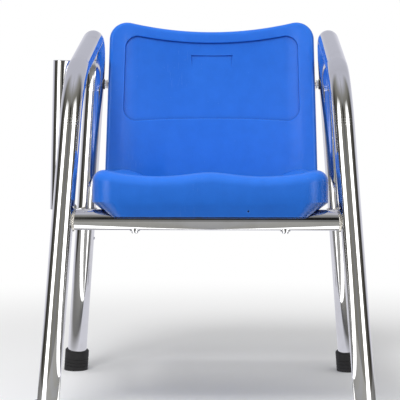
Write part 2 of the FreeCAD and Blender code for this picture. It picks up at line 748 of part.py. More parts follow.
def pivot_parts():
    """Bolts, saddle washers, nuts and spacers of the back, right side first."""
    row = pivot_row()
    leg = side_frame_bar(1)
    tip = side_edge_x() - BUSH_RECESS - PIN_ENGAGEMENT
    pin = rod(at_pivot(tip), at_pivot(row["outer"] + 1.0), PIN_R)
    head = Part.makeCylinder(PIVOT_HEAD_R, PIVOT_HEAD_H, at_pivot(row["outer"]), X_AXIS)
    rim = [edge for edge in head.Edges if edge.BoundBox.XMin > row["outer"] + PIVOT_HEAD_H - 0.1]
    head = head.makeFillet(0.6 * PIVOT_HEAD_H, rim)
    socket = hexagon(at_pivot(row["outer"] + PIVOT_HEAD_H - 2.5), X_AXIS, 2.5, 3.0)
    bolt = pin.fuse(head).cut(socket)
    outer = rod(at_pivot(row["outer"] - 6), at_pivot(row["outer"]), SADDLE_R).cut(leg)
    outer = outer.cut(rod(at_pivot(0), at_pivot(PAST_ALL), PIN_R)).Solids[0]
    inner = rod(at_pivot(row["washer"]), at_pivot(row["washer"] + 6), SADDLE_R).cut(leg)
    inner = inner.cut(rod(at_pivot(0), at_pivot(PAST_ALL), PIN_R)).Solids[0]
    nut = hexagon(at_pivot(row["nut"]), X_AXIS, NUT_FLAT, NUT_H)
    nut = nut.cut(rod(at_pivot(0), at_pivot(PAST_ALL), PIN_R))
    spacer = rod(at_pivot(row["spacer"]), at_pivot(row["nut"]), SPACER_R)
    spacer = spacer.cut(rod(at_pivot(0), at_pivot(PAST_ALL), PIN_R))
    return {"back_tilt_bolts": bolt, "outer_saddle_washers": outer, "inner_saddle_washers": inner,
            "back_tilt_nuts": nut, "back_spacer_washers": spacer}


def pivot_hole():
    row = pivot_row()
    return rod(at_pivot(row["crest"] - 5), at_pivot(row["outer"] + 5), PIN_R + PIN_HOLE_CLEARANCE)


def leg_rivet():
    """Small blind rivet on the inner side of the left rear leg."""
    axis = rear_leg_point(-1, RIVET_Z)
    face = axis.x + FRAME_TUBE_R
    shank = rod(V(face - 4, axis.y, axis.z), V(face + 0.6, axis.y, axis.z), RIVET_R)
    dome = Part.makeSphere(RIVET_HEAD_R, V(face - RIVET_HEAD_R + 2.0, axis.y, axis.z))
    dome = dome.cut(rod(*near_leg(rear_leg_point, -1, RIVET_Z), FRAME_TUBE_R))
    return max(dome.Solids, key=lambda piece: piece.BoundBox.XMax).fuse(shank)


def rivet_hole():
    axis = rear_leg_point(-1, RIVET_Z)
    face = axis.x + FRAME_TUBE_R
    return rod(V(face - 8, axis.y, axis.z), V(face + 8, axis.y, axis.z), RIVET_R)


def build():
    """Every node of the chair by name."""
    nodes = {}
    front_rail, front_beads = cross_rail(front_leg_point, 0.0)
    rear_rail, rear_beads = cross_rail(rear_leg_point, rear_rail_run())
    right_rail, side_beads = side_rail()
    rear_support, support_beads = support_rail()
    for hole in bolt_holes():
        front_rail = front_rail.cut(hole)
        rear_support = rear_support.cut(hole)
    hole = pivot_hole()
    nodes["left_side_frame"] = side_frame_tube(-1).cut(mirrored(hole)).cut(rivet_hole())
    nodes["right_side_frame"] = side_frame_tube(1).cut(hole)
    nodes["front_seat_rail"] = front_rail
    nodes["rear_seat_rail"] = rear_rail
    nodes["left_side_rail"] = mirrored(right_rail)
    nodes["right_side_rail"] = right_rail
    nodes["seat_support_rail"] = rear_support
    nodes["front_rail_welds"] = group(front_beads)
    nodes["rear_rail_welds"] = group(rear_beads)
    nodes["side_rail_welds"] = group(side_beads + [mirrored(bead) for bead in side_beads])
    nodes["support_rail_welds"] = group(support_beads)
    nodes["accessory_sleeve"] = sleeve_tube()
    nodes["sleeve_base_cap"] = sleeve_base_cap()
    nodes["sleeve_upper_gusset"], nodes["sleeve_lower_gusset"] = sleeve_gussets()
    nodes["left_rear_leg_rivet"] = leg_rivet()
    nodes["seat_shell"] = seat_shell()
    nodes["seat_inserts"] = group(seat_inserts())
    nodes["seat_bolts"] = group([seat_bolt(x, run) for x, run in seat_bolt_places()])
    nodes["seat_bolt_washers"] = group([seat_washer(x, run) for x, run in seat_bolt_places()])
    nodes["back_shell"] = back_shell()
    nodes["back_bushes"] = group(bushes())
    for name, piece in pivot_parts().items():
        nodes[name] = group([piece, mirrored(piece)])
    for row, point_at in (("front", front_leg_point), ("rear", rear_leg_point)):
        nodes[row + "_left_foot"] = foot(point_at, -1)
        nodes[row + "_right_foot"] = foot(point_at, 1)
    return nodes


os.makedirs("parts", exist_ok=True)
for node_name, shape in build().items():
    box = shape.BoundBox
    print(node_name, "solids", len(shape.Solids), "valid", shape.isValid(), "volume", round(shape.Volume),
          "x", round(box.XMin, 1), round(box.XMax, 1), "y", round(box.YMin, 1), round(box.YMax, 1),
          "z", round(box.ZMin, 1), round(box.ZMax, 1))
    shape.exportStep("parts/" + node_name + ".step")
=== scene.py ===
# %% [markdown]
# # A student armchair with a polished tube frame
# The chair's working parts are built elsewhere and arrive here as a fixed frame of named pieces.
# This file is a lesson in dressing them: camera and light first, then finishes, then the pieces
# whose surface needs more than the plain solids give, such as the mirror-bright bent tubes.

# %% Load the frame
import json
import math

import bmesh
import bpy
from mathutils import Matrix, Vector


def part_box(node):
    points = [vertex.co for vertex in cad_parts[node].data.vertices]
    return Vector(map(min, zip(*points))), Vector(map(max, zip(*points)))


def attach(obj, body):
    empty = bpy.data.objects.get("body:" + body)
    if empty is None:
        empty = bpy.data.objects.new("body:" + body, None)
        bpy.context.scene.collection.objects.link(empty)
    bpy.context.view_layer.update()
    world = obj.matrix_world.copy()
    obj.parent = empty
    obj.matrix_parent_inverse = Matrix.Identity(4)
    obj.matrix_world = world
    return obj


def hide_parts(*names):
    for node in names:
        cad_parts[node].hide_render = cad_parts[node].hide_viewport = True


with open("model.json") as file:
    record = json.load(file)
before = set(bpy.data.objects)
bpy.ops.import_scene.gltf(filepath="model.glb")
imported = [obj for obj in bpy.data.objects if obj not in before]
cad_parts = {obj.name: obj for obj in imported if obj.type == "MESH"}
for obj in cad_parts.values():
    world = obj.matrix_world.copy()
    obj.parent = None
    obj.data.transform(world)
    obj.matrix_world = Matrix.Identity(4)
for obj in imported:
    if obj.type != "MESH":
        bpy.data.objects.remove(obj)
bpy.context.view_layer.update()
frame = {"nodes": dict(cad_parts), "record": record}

nodes = frame["nodes"]
scene = bpy.context.scene

# %% [markdown]
# ## Camera
# A long lens from three metres away keeps the legs nearly parallel, as in a catalogue.
# The camera stands at the height of the back and looks down by five degrees. A camera in Blender
# looks along its own -Z, so the first turn of 90 degrees raises it to look along +Y.

# %% Camera
SENSOR_MM = 36.0
LENS_TO_SENSOR = 4.3625
CAMERA_PLACE = (0.066, -3.239, 0.648)
CAMERA_TURN = math.radians(1.477)
CAMERA_DIP = math.radians(4.913)

camera_data = bpy.data.cameras.new("camera")
camera_data.sensor_width = SENSOR_MM
camera_data.lens = LENS_TO_SENSOR * SENSOR_MM
camera = bpy.data.objects.new("camera", camera_data)
camera.location = CAMERA_PLACE
camera.rotation_euler = (math.pi / 2 - CAMERA_DIP, 0, CAMERA_TURN)
scene.collection.objects.link(camera)
scene.camera = camera
print("lens", round(camera_data.lens, 1), "mm")

# %% [markdown]
# ## Helpers for node trees
# Node trees are easier to read when each node is made in one line, with its settings and with
# the values of its unlinked sockets. `wire` joins an output to an input by name or number. A
# source that may be a plain value or a link is written as the value or as (node, output).


# %% Node helpers
def add(tree, kind, values=None, **settings):
    """A new node with its settings, and with values for some of its input sockets."""
    made = tree.nodes.new(kind)
    for name, value in settings.items():
        setattr(made, name, value)
    for socket, value in (values or {}).items():
        made.inputs[socket].default_value = value
    return made


def wire(tree, source, output, target, socket):
    tree.links.new(source.outputs[output], target.inputs[socket])


def maths(tree, operation, first, second=0.0):
    """A Math node. Each operand is a number or a (node, output) pair."""
    made = add(tree, "ShaderNodeMath", operation=operation)
    for socket, operand in enumerate((first, second)):
        if isinstance(operand, tuple):
            wire(tree, *operand, made, socket)
        else:
            made.inputs[socket].default_value = operand
    return made


print("node helpers ready")

# %% [markdown]
# Two more helpers handle colours. A ColorRamp turns one number into a run of colours, and a Mix
# node puts one colour over another by a share.


# %% Colour helpers
def ramp(tree, source, output, stops):
    """A ColorRamp whose stops are (position, brightness or colour)."""
    made = add(tree, "ShaderNodeValToRGB")
    marks = made.color_ramp.elements
    while len(marks) < len(stops):
        marks.new(1.0)
    for mark, (position, value) in zip(marks, stops):
        mark.position = position
        mark.color = (*value, 1) if isinstance(value, tuple) else (value, value, value, 1)
    wire(tree, source, output, made, "Fac")
    return made


def mix_colours(tree, share, first, second):
    """A Mix node. The share is a (node, output) pair, and a colour may be one too."""
    made = add(tree, "ShaderNodeMix", data_type="RGBA")
    wire(tree, *share, made, "Factor")
    for socket, colour in (("A", first), ("B", second)):
        if len(colour) == 2:
            wire(tree, *colour, made, socket)
        else:
            made.inputs[socket].default_value = (*colour, 1)
    return made


print("colour helpers ready")

# %% [markdown]
# ## Studio
# Mirror-bright tubes show nothing but the room, so the room is drawn for them. A product studio
# puts big white softboxes on both sides and dark cards further round, and a tube then shows crisp
# light and dark stripes. One node group draws that room by direction. The world uses it for
# reflected rays, and so does the floor, so that the cards seem to stand on it. Rays from the
# camera see plain white, and diffuse surfaces get a soft sky, brightest above and in front.


# %% Group helper
SOCKET_KINDS = {"Float": "NodeSocketFloat", "Vector": "NodeSocketVector", "Color": "NodeSocketColor"}


def effect_group(name, inputs, outputs):
    """A shader node group and its two end nodes. Inputs have defaults, and None is a vector."""
    group = bpy.data.node_groups.new(name, "ShaderNodeTree")
    for label, default in inputs.items():
        kind = "Vector" if default is None else "Float"
        socket = group.interface.new_socket(label, in_out="INPUT", socket_type=SOCKET_KINDS[kind])
        if default is not None:
            socket.default_value = default
    for label, kind in outputs.items():
        group.interface.new_socket(label, in_out="OUTPUT", socket_type=SOCKET_KINDS[kind])
    return group, add(group, "NodeGroupInput"), add(group, "NodeGroupOutput")


print("group helper ready")

# %% [markdown]
# ### Directions in the room
# A direction is split into its turn away from straight ahead, the same to either side, and its
# climb above the horizon. Both are angles, and both are scaled to run from 0 to 1, because that
# is what a ColorRamp can read.

# %% Turn and climb
studio, entry, leave = effect_group("studio_room", {"Direction": None}, {"Color": "Color"})
parts = add(studio, "ShaderNodeSeparateXYZ")
wire(studio, entry, "Direction", parts, 0)
toward_camera = maths(studio, "MULTIPLY", (parts, "Y"), -1.0)
turn = maths(studio, "ARCTAN2", (parts, "X"), (toward_camera, 0))
turn_size = maths(studio, "ABSOLUTE", (turn, 0))
share_round = maths(studio, "DIVIDE", (turn_size, 0), math.pi)
climb = maths(studio, "ARCSINE", (parts, "Z"))
share_up = maths(studio, "MULTIPLY_ADD", (climb, 0), 1 / math.pi)
share_up.inputs[2].default_value = 0.5


def at_turn(degrees):
    """Place on a ramp over the turn."""
    return degrees / 180.0


def at_climb(degrees):
    """Place on a ramp over the climb."""
    return degrees / 180.0 + 0.5


print("a level view to the side is at", at_turn(90), "round and", at_climb(0), "up")

# %% [markdown]
# ### What stands where
# `around` is the ring of things at eye height: a warm grey wall ahead, a softbox at each side,
# then dark cards. `front_top` is what is seen above them, and `back_wall` the pale paper behind
# the chair, which fades up into the ceiling. `ahead` is the narrow strip in which the camera
# stands, dim in its middle and light at the floor. The other three ramps say where each holds.

# %% Room ramps
SOFTBOX = 2.8
WARM_GREY = (0.23, 0.225, 0.20)
CARD_EDGE = (0.17, 0.165, 0.145)
DARK_CARD = (0.040, 0.038, 0.032)
PAPER = (0.76, 0.76, 0.84)
LOW_WALL = (0.15, 0.145, 0.125)
HIGH_WALL = (0.26, 0.255, 0.235)
CEILING = (0.54, 0.545, 0.62)

around = ramp(studio, share_round, 0, [
    (at_turn(0), WARM_GREY), (at_turn(28), WARM_GREY), (at_turn(31), SOFTBOX), (at_turn(57), SOFTBOX),
    (at_turn(61), CARD_EDGE), (at_turn(88), DARK_CARD), (at_turn(180), DARK_CARD)])
front_top = ramp(studio, share_up, 0, [
    (at_climb(28), LOW_WALL), (at_climb(48), HIGH_WALL), (at_climb(72), CEILING)])
back_wall = ramp(studio, share_up, 0, [(at_climb(2), PAPER), (at_climb(18), CEILING)])
ahead = ramp(studio, share_up, 0, [
    (at_climb(-90), 0.75), (at_climb(-12), 0.55), (at_climb(-3), 0.30), (at_climb(4), 0.16),
    (at_climb(8), 0.012), (at_climb(30), 0.012), (at_climb(40), 0.24), (at_climb(75), 0.40)])
overhead = ramp(studio, share_up, 0, [(at_climb(16), 0.0), (at_climb(40), 1.0)])
behind = ramp(studio, share_round, 0, [(at_turn(100), 0.0), (at_turn(120), 1.0)])
in_front = ramp(studio, share_round, 0, [(at_turn(5), 1.0), (at_turn(9), 0.0)])
print("room has", len(studio.nodes), "nodes so far")

# %% [markdown]
# The parts are laid over each other from the widest to the narrowest.

# %% Room
facing = mix_colours(studio, (overhead, 0), (around, 0), (front_top, 0))
whole_round = mix_colours(studio, (behind, 0), (facing, "Result"), (back_wall, 0))
room = mix_colours(studio, (in_front, 0), (whole_round, "Result"), (ahead, 0))
wire(studio, room, "Result", leave, "Color")
print("studio drawn with", len(studio.nodes), "nodes")

# %% [markdown]
# ### World
# The three kinds of ray are sorted with a Light Path node. The order of the two mixes matters:
# the mirror view is put over the soft sky first, and the camera's white over both. The sky is
# graded by a dot product, which says how far a direction leans toward the light.

# %% Sky
SKY_LOW = 0.02
SKY_HIGH = 0.96
SKY_FROM = (0.0, -0.55, 0.83)
SKY_DARK_END = -0.4

scene.view_settings.view_transform = "Standard"
world = bpy.data.worlds.new("studio")
scene.world = world
world.use_nodes = True
sky = world.node_tree
sky.nodes.clear()

direction = add(sky, "ShaderNodeTexCoord")
drawn = add(sky, "ShaderNodeGroup", node_tree=studio)
wire(sky, direction, "Generated", drawn, "Direction")
toward_light = add(sky, "ShaderNodeVectorMath", {1: SKY_FROM}, operation="DOT_PRODUCT")
wire(sky, direction, "Generated", toward_light, 0)
level = add(sky, "ShaderNodeMapRange",
            {"From Min": SKY_DARK_END, "To Min": SKY_LOW, "To Max": SKY_HIGH})
wire(sky, toward_light, "Value", level, "Value")
print("sky for diffuse surfaces from", SKY_LOW, "to", SKY_HIGH)

# %% What each ray sees
WHITE = (1.0, 1.0, 1.0)

rays = add(sky, "ShaderNodeLightPath")
lit = mix_colours(sky, (rays, "Is Glossy Ray"), (level, "Result"), (drawn, "Color"))
seen_direct = maths(sky, "MAXIMUM", (rays, "Is Camera Ray"), (rays, "Is Transmission Ray"))
shown = mix_colours(sky, (seen_direct, 0), (lit, "Result"), WHITE)
background = add(sky, "ShaderNodeBackground", {"Strength": 1.0})
wire(sky, shown, "Result", background, "Color")
wire(sky, background, 0, add(sky, "ShaderNodeOutputWorld"), "Surface")
print("world has", len(sky.nodes), "nodes")

# %% [markdown]
# ### Lamps
# Two soft lamps give the plastic its shape: a strong one above and in front, and a weaker one
# from the left. They are hidden from reflections, because the drawn room already has its lights.

# %% Lamps
CHAIR_MIDDLE = Vector((0.0, 0.0, 0.4))
LAMPS = {"key": ((-0.5, -1.7, 2.6), 0.9, 42), "fill": ((-2.0, -2.2, 1.0), 1.4, 6)}


def soft_lamp(name, place, size, watts):
    """A round area lamp that looks at the middle of the chair."""
    data = bpy.data.lights.new(name, "AREA")
    data.shape = "DISK"
    data.size = size
    data.energy = watts
    lamp = bpy.data.objects.new(name, data)
    lamp.location = place
    aim = CHAIR_MIDDLE - Vector(place)
    lamp.rotation_euler = aim.to_track_quat("-Z", "Y").to_euler()
    lamp.visible_glossy = False
    lamp.visible_camera = False
    scene.collection.objects.link(lamp)


for name, (place, size, watts) in LAMPS.items():
    soft_lamp(name, place, size, watts)
print(len(LAMPS), "lamps hung")

# %% [markdown]
# ## Floor
# A pale disc takes the chair's shadow. It belongs to the studio and rides on no body of the chair.

# %% Floor disc
FLOOR_RADIUS = 14.0

floor_mesh = bmesh.new()
bmesh.ops.create_circle(floor_mesh, cap_ends=True, segments=96, radius=FLOOR_RADIUS)
floor_data = bpy.data.meshes.new("floor")
floor_mesh.to_mesh(floor_data)
floor_mesh.free()
floor = bpy.data.objects.new("floor", floor_data)
scene.collection.objects.link(floor)
print("floor of radius", FLOOR_RADIUS)

# %% [markdown]
# ### Studio paper
# Far from the chair the paper fades into plain white for the camera, so no horizon line shows.
# In reflections most of it shows the drawn room, or the lower legs would mirror nothing but
# white. To diffuse rays it is much darker than it looks, so that it doesn't light the chair from
# below.

# %% Where the paper glows
SHADOW_REACH = 0.75
FADE_OUT = 1.7
MIRRORED_ROOM = 0.8

paper = bpy.data.materials.new("studio_paper")
paper.use_nodes = True
tree = paper.node_tree
tree.nodes.clear()
where = add(tree, "ShaderNodeTexCoord")
far = add(tree, "ShaderNodeVectorMath", operation="LENGTH")
wire(tree, where, "Object", far, 0)
fade = add(tree, "ShaderNodeMapRange", {"From Min": SHADOW_REACH, "From Max": FADE_OUT},
           interpolation_type="SMOOTHSTEP")
wire(tree, far, "Value", fade, "Value")

rays = add(tree, "ShaderNodeLightPath")
seen_direct = maths(tree, "MAXIMUM", (rays, "Is Camera Ray"), (rays, "Is Transmission Ray"))
seen_or_mirrored = maths(tree, "MAXIMUM", (seen_direct, 0), (rays, "Is Glossy Ray"))
mirrored = maths(tree, "MULTIPLY", (rays, "Is Glossy Ray"), MIRRORED_ROOM)
reached = maths(tree, "MAXIMUM", (fade, "Result"), (mirrored, 0))
glow_share = maths(tree, "MULTIPLY", (reached, 0), (seen_or_mirrored, 0))
print("the shadow may reach", SHADOW_REACH, "m before the paper starts to fade")

# %% [markdown]
# Two shaders are mixed by that share: chalk, which takes light and shadow, and a glow, which
# only shows a colour.

# %% Studio paper
CHALK = 0.93
BOUNCE = 0.12

drawn = add(tree, "ShaderNodeGroup", node_tree=studio)
wire(tree, where, "Object", drawn, "Direction")
far_colour = mix_colours(tree, (seen_direct, 0), (drawn, "Color"), WHITE)
glow = add(tree, "ShaderNodeEmission", {"Strength": 1.0})
wire(tree, far_colour, "Result", glow, "Color")
chalk = add(tree, "ShaderNodeBsdfDiffuse")
wire(tree, ramp(tree, rays, "Is Diffuse Ray", [(0.0, CHALK), (1.0, BOUNCE)]), 0, chalk, "Color")
blend = add(tree, "ShaderNodeMixShader")
wire(tree, glow_share, 0, blend, 0)
wire(tree, chalk, 0, blend, 1)
wire(tree, glow, 0, blend, 2)
wire(tree, blend, 0, add(tree, "ShaderNodeOutputMaterial"), "Surface")
floor_data.materials.append(paper)
print(paper.name, "has", len(tree.nodes), "nodes")

# %% [markdown]
# ## Shared surface effects
# Three effects turn up in more than one finish: polishing marks and finger smudges on metal, the
# fine skin of moulded plastic, and the small scuffs that furniture collects. Each becomes a node
# group with named inputs and outputs. A group gives only masks and heights, and the shader that
# they feed stays in the material. All of them read Object coordinates, which are metres here.


# %% Noise helper
def noise(tree, place, scale, detail=2.0, roughness=0.5, stretch=None):
    """A Noise texture on Object coordinates, stretched along an axis if asked."""
    made = add(tree, "ShaderNodeTexNoise", {"Detail": detail, "Roughness": roughness})
    if isinstance(scale, tuple):
        wire(tree, *scale, made, "Scale")
    else:
        made.inputs["Scale"].default_value = scale
    if stretch:
        mapping = add(tree, "ShaderNodeMapping", {"Scale": stretch})
        wire(tree, place, "Object", mapping, "Vector")
        wire(tree, mapping, 0, made, "Vector")
    else:
        wire(tree, place, "Object", made, "Vector")
    return made


print("noise helper ready")

# %% [markdown]
# ### Polishing marks and smudges
# Buffing leaves very fine lines with a slight ripple under them, and hands leave dull patches.
# Long thin lines come from a noise stretched along Z, and the patches from a broad noise that is
# clipped to its brightest parts.

# %% Polish group
LINE_STRETCH = (1.0, 1.0, 0.06)
RIPPLE_SHARE = 0.75

polish, entry, leave = effect_group(
    "polish_marks", {"Line Scale": 900.0, "Ripple Scale": 55.0, "Smudge Scale": 14.0},
    {"Height": "Float", "Smudge": "Float"})
place = add(polish, "ShaderNodeTexCoord")
lines = noise(polish, place, (entry, "Line Scale"), 3.0, 0.6, LINE_STRETCH)
ripple = noise(polish, place, (entry, "Ripple Scale"), 1.0)
patches = noise(polish, place, (entry, "Smudge Scale"), 4.0, 0.6)
relief = maths(polish, "MULTIPLY_ADD", (ripple, "Fac"), RIPPLE_SHARE)
wire(polish, lines, "Fac", relief, 2)
wire(polish, relief, 0, leave, "Height")
wire(polish, ramp(polish, patches, "Fac", [(0.5, 0.0), (0.72, 1.0)]), 0, leave, "Smudge")
print("polish_marks:", len(polish.nodes), "nodes")

# %% [markdown]
# ### Moulded skin
# A hollow moulded seat is never flat: its skin has a fine grain copied from the mould, and a
# slow waviness where the wall cooled unevenly. The colour clouds a little too, in patches of a
# few centimetres.

# %% Skin group
CLOUD_SCALE = 38.0

skin, entry, leave = effect_group(
    "moulded_skin", {"Grain Scale": 620.0, "Wave Scale": 9.0, "Grain Share": 0.3},
    {"Height": "Float", "Cloud": "Float"})
place = add(skin, "ShaderNodeTexCoord")
grain = noise(skin, place, (entry, "Grain Scale"), 2.0, 0.55)
wave = noise(skin, place, (entry, "Wave Scale"), 2.0, 0.4)
grain_height = maths(skin, "MULTIPLY", (grain, "Fac"), (entry, "Grain Share"))
relief = maths(skin, "ADD", (grain_height, 0), (wave, "Fac"))
wire(skin, relief, 0, leave, "Height")
wire(skin, noise(skin, place, CLOUD_SCALE, 3.0, 0.6), "Fac", leave, "Cloud")
print("moulded_skin:", len(skin.nodes), "nodes")

# %% [markdown]
# ### Scuffs and specks
# A scuff is a short pale hairline. Stretching a noise a long way in one direction gives strands,
# and a second, broader noise lets them through in a few places only. Specks of dust are the
# centres of Voronoi cells, kept where a random cell colour is high.

# %% Scuff group
STRAND_STRETCH = (7.0, 1.0, 0.6)
GATE_SCALE = 11.0
SPECK_RARITY = 0.965

scuff, entry, leave = effect_group(
    "scuffs_and_specks", {"Scuff Scale": 60.0, "Speck Scale": 150.0},
    {"Scuff": "Float", "Speck": "Float"})
place = add(scuff, "ShaderNodeTexCoord")
strands = noise(scuff, place, (entry, "Scuff Scale"), 2.0, 0.5, STRAND_STRETCH)
strand_mask = ramp(scuff, strands, "Fac", [(0.635, 0.0), (0.655, 1.0), (0.67, 0.0)])
places = noise(scuff, place, GATE_SCALE, 1.0)
gate = ramp(scuff, places, "Fac", [(0.62, 0.0), (0.70, 1.0)])
wire(scuff, maths(scuff, "MULTIPLY", (strand_mask, 0), (gate, 0)), 0, leave, "Scuff")
cells = add(scuff, "ShaderNodeTexVoronoi")
wire(scuff, place, "Object", cells, "Vector")
wire(scuff, entry, "Speck Scale", cells, "Scale")
dots = ramp(scuff, cells, "Distance", [(0.05, 1.0), (0.11, 0.0)])
chosen = add(scuff, "ShaderNodeSeparateColor")
wire(scuff, cells, "Color", chosen, 0)
rare = maths(scuff, "GREATER_THAN", (chosen, 0), SPECK_RARITY)
wire(scuff, maths(scuff, "MULTIPLY", (dots, 0), (rare, 0)), 0, leave, "Speck")
print("scuffs_and_specks:", len(scuff.nodes), "nodes")

# %% [markdown]
# ## Finishes
# Every finish starts from the Principled BSDF. Plain constants are typed into its sockets, and
# only what changes over the surface is wired: colour, roughness and a Bump node for the normal.


# %% Finish helpers
def shader_for(name, metallic, roughness, **constants):
    """A material, its tree and its Principled BSDF with the constants set."""
    material = bpy.data.materials.new(name)
    material.use_nodes = True
    shader = material.node_tree.nodes["Principled BSDF"]
    shader.inputs["Metallic"].default_value = metallic
    shader.inputs["Roughness"].default_value = roughness
    for socket, value in constants.items():
        shader.inputs[socket.replace("_", " ")].default_value = value
    return material, material.node_tree, shader


def effect(tree, group, **values):
    """Places a shared effect with its own values."""
    made = add(tree, "ShaderNodeGroup", node_tree=group)
    for socket, value in values.items():
        made.inputs[socket.replace("_", " ")].default_value = value
    return made


def level_between(tree, source, output, low, high):
    """Maps a mask from 0..1 to low..high."""
    made = add(tree, "ShaderNodeMapRange", {"To Min": low, "To Max": high})
    wire(tree, source, output, made, "Value")
    return made


def bump(tree, shader, source, output, height):
    """Turns a height into the shader's normal. A height of 1 stands for `height` metres."""
    made = add(tree, "ShaderNodeBump", {"Strength": 1.0, "Distance": height})
    wire(tree, source, output, made, "Height")
    wire(tree, made, "Normal", shader, "Normal")


print("finish helpers ready")

# %% [markdown]
# ### Polished steel
# The frame is bright polished steel, a little warm. Its mirror is sharp, so the bump is measured
# in hundredths of a millimetre, and only the smudges raise the roughness. The cross rails are a
# touch duller than the bent tubes, and bolts are plain zinc.

# %% Polished steel
FINE_RELIEF = 0.00001
COARSE_RELIEF = 0.00002


def polished_metal(name, low, high, smooth, dull, relief):
    """A metal from its smudged and clean colours and its clean and smudged roughness."""
    material, tree, shader = shader_for(name, 1.0, smooth)
    marks = effect(tree, polish)
    tint = mix_colours(tree, (marks, "Smudge"), high, low)
    wire(tree, tint, "Result", shader, "Base Color")
    worn = level_between(tree, marks, "Smudge", smooth, dull)
    wire(tree, worn, "Result", shader, "Roughness")
    bump(tree, shader, marks, "Height", relief)
    return material


tube_steel = polished_metal("tube_steel", (0.74, 0.735, 0.73), (0.81, 0.81, 0.815),
                            0.02, 0.06, FINE_RELIEF)
rail_steel = polished_metal("rail_steel", (0.72, 0.715, 0.71), (0.80, 0.80, 0.805),
                            0.05, 0.11, FINE_RELIEF)
plate_steel = polished_metal("plate_steel", (0.70, 0.70, 0.70), (0.78, 0.78, 0.785),
                             0.12, 0.22, COARSE_RELIEF)
bolt_zinc = polished_metal("bolt_zinc", (0.60, 0.61, 0.63), (0.74, 0.75, 0.77),
                           0.20, 0.34, COARSE_RELIEF)
print("steel finishes:", tube_steel.name, rail_steel.name, plate_steel.name, bolt_zinc.name)

# %% [markdown]
# ### Marks of the tube bender
# The clamp of a tube bender leaves faint rings across the tube, deepest at both ends of a bend.
# Seen from the side, the two side frames bend about the same two centres, so Object coordinates
# can place the marks: the angle about a centre draws the rings, and a ramp over that angle keeps
# them to the bend. Each centre comes with the first and last angle of its bend, in degrees.

# %% Bender marks
BEND_CENTRES = {"front": (-0.1342, 0.515, 102, 176), "rear": (0.0957, 0.5618, 7, 101)}
RING_SCALE = 90.0
RING_DEPTH = 4.5
MIDDLE_SHARE = 0.15
FADE_BEFORE = 0.03
FADE_WITHIN = 0.06


def bender_marks(tree, centre_y, centre_z, first, last):
    """Fine rings at a bend of the tube, as a height."""
    place = add(tree, "ShaderNodeTexCoord")
    parts = add(tree, "ShaderNodeSeparateXYZ")
    wire(tree, place, "Object", parts, 0)
    y_off = maths(tree, "SUBTRACT", (parts, "Y"), centre_y)
    z_off = maths(tree, "SUBTRACT", (parts, "Z"), centre_z)
    turned = maths(tree, "ARCTAN2", (z_off, 0), (y_off, 0))
    rings = add(tree, "ShaderNodeTexNoise", {"Scale": RING_SCALE, "Detail": 2.0},
                noise_dimensions="1D")
    wire(tree, turned, 0, rings, "W")
    sharp = ramp(tree, rings, "Fac", [(0.56, 0.0), (0.64, 1.0), (0.70, 0.2)])
    share = maths(tree, "DIVIDE", (turned, 0), math.pi)
    low, high = first / 180.0, last / 180.0
    gate = ramp(tree, share, 0, [
        (low - FADE_BEFORE, 0.0), (low, 1.0), (low + FADE_WITHIN, MIDDLE_SHARE),
        (high - FADE_WITHIN, MIDDLE_SHARE), (high, 1.0), (high + FADE_BEFORE, 0.0)])
    strip = maths(tree, "MULTIPLY", (sharp, 0), (gate, 0))
    return maths(tree, "MULTIPLY", (strip, 0), RING_DEPTH)


tree = tube_steel.node_tree
relief = tree.nodes["Bump"]
height, output = relief.inputs["Height"].links[0].from_node, "Height"
for bend in BEND_CENTRES.values():
    marks = bender_marks(tree, *bend)
    height, output = maths(tree, "ADD", (height, output), (marks, 0)), 0
wire(tree, height, output, relief, "Height")
print(tube_steel.name, "now has", len(tree.nodes), "nodes")

# %% [markdown]
# ### Weld beads
# A dressed bead keeps soft ripples and a faint straw colour from the heat. The ripples could be
# modelled, but they are a fraction of a millimetre high, so a distorted Wave texture does.

# %% Weld bead
weld_metal, tree, shader = shader_for("weld_metal", 1.0, 0.3)
place = add(tree, "ShaderNodeTexCoord")
ripples = add(tree, "ShaderNodeTexWave", {"Scale": 190.0, "Distortion": 3.0, "Detail": 2.0},
              wave_type="BANDS", bands_direction="DIAGONAL")
wire(tree, place, "Object", ripples, "Vector")
heat = noise(tree, place, 120.0, 3.0)
straw = mix_colours(tree, (heat, "Fac"), (0.50, 0.49, 0.47), (0.70, 0.66, 0.58))
wire(tree, straw, "Result", shader, "Base Color")
wire(tree, level_between(tree, heat, "Fac", 0.16, 0.40), "Result", shader, "Roughness")
bump(tree, shader, ripples, "Fac", 0.0003)
print(weld_metal.name, "has", len(tree.nodes), "nodes")

# %% [markdown]
# ### Blue moulded plastic
# The seat and back are moulded from plastic that is dyed through. The colour clouds a little, the
# gloss is satin, and the scuffs are paler than the plastic round them. The scuffs are mixed into
# the colour and not laid over it as a second shader, because a scratch doesn't change what the
# plastic is.

# %% Blue plastic
BLUE_DEEP = (0.013, 0.145, 0.670)
BLUE_LIGHT = (0.017, 0.185, 0.800)
BLUE_SCUFF = (0.22, 0.42, 0.90)
SCUFF_STRENGTH = 0.4
BLUE_RELIEF = 0.0006

blue_plastic, tree, shader = shader_for("blue_plastic", 0.0, 0.36, Specular_IOR_Level=0.5)
surface = effect(tree, skin)
base = mix_colours(tree, (surface, "Cloud"), BLUE_DEEP, BLUE_LIGHT)
wear = effect(tree, scuff)
marked = maths(tree, "MAXIMUM", (wear, "Scuff"), (wear, "Speck"))
faint = maths(tree, "MULTIPLY", (marked, 0), SCUFF_STRENGTH)
scuffed = mix_colours(tree, (faint, 0), (base, "Result"), BLUE_SCUFF)
wire(tree, level_between(tree, surface, "Cloud", 0.26, 0.36), "Result", shader, "Roughness")
bump(tree, shader, surface, "Height", BLUE_RELIEF)
print(blue_plastic.name, "has", len(tree.nodes), "nodes")
